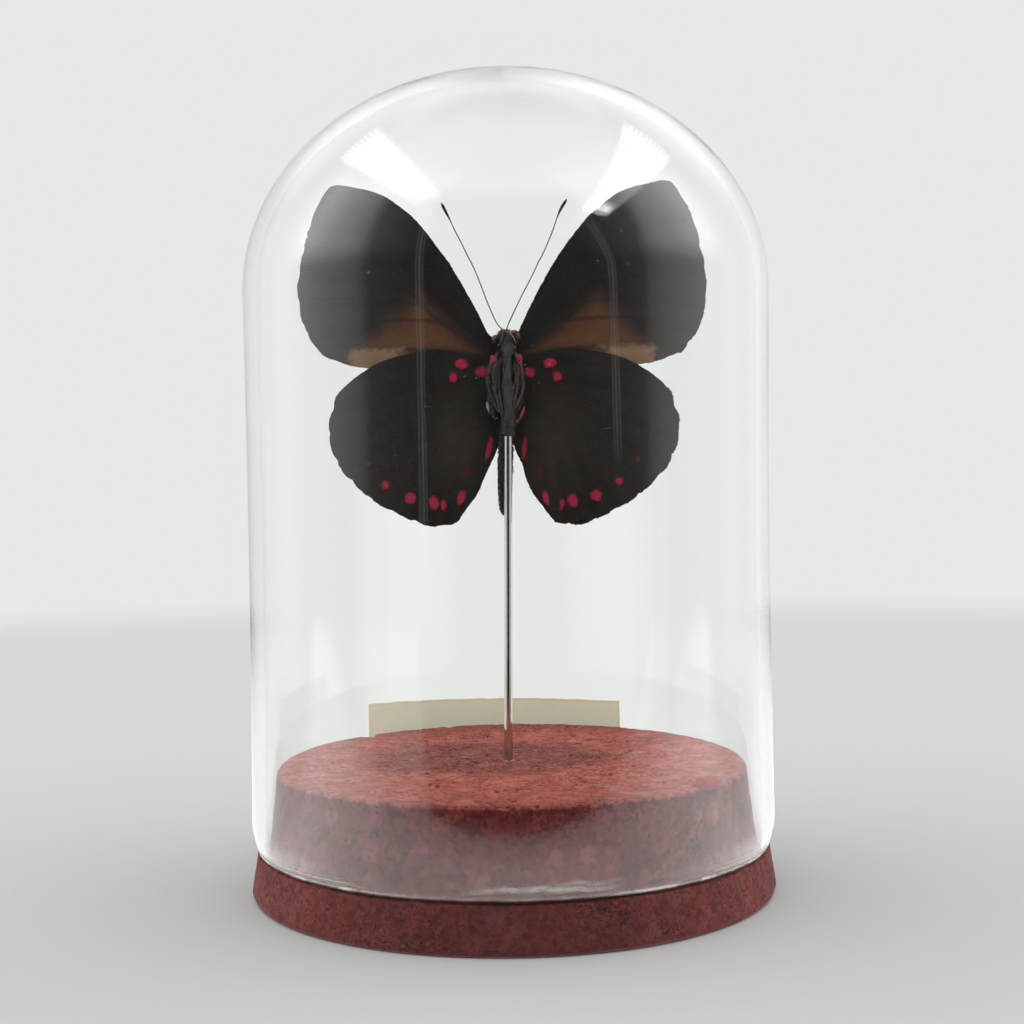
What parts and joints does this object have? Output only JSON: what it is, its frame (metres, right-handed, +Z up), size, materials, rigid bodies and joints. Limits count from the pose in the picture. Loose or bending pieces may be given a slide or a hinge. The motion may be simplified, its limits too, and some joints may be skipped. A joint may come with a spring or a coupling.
{
  "type": "insect in glass dome",
  "caption": "Mounted butterfly with spread dark wings on a thin steel rod, under a clear glass dome that rests on a stepped cork base.",
  "frame": {"origin": "middle of the cork base's underside", "axes": "+Z up through the crown of the dome; the butterfly's underside faces -Y, which is the front; +X to the right as seen from the front"},
  "size_m": [0.08, 0.0803, 0.1245],
  "materials": {
    "cork": "pressed cork granules dyed dark red, matt, with dark pits",
    "glass": "clear blown glass, polished, fire-polished rim",
    "steel": "polished",
    "sleeve": "dark grey, satin",
    "body": "dry dark chitin with short hairs",
    "wing": "matt brown-black scales with crimson spots",
    "label": "bare cream paper"
  },
  "bodies": {
    "root": {"cork_base": "cork", "glass_dome": "glass", "steel_rod": "steel", "rod_collar": "sleeve", "butterfly_body": "body", "forewing_left": "wing", "forewing_right": "wing", "hindwing_left": "wing", "hindwing_right": "wing", "antenna_left": "body", "antenna_right": "body", "paper_label": "label"}
  },
  "joints": []
}
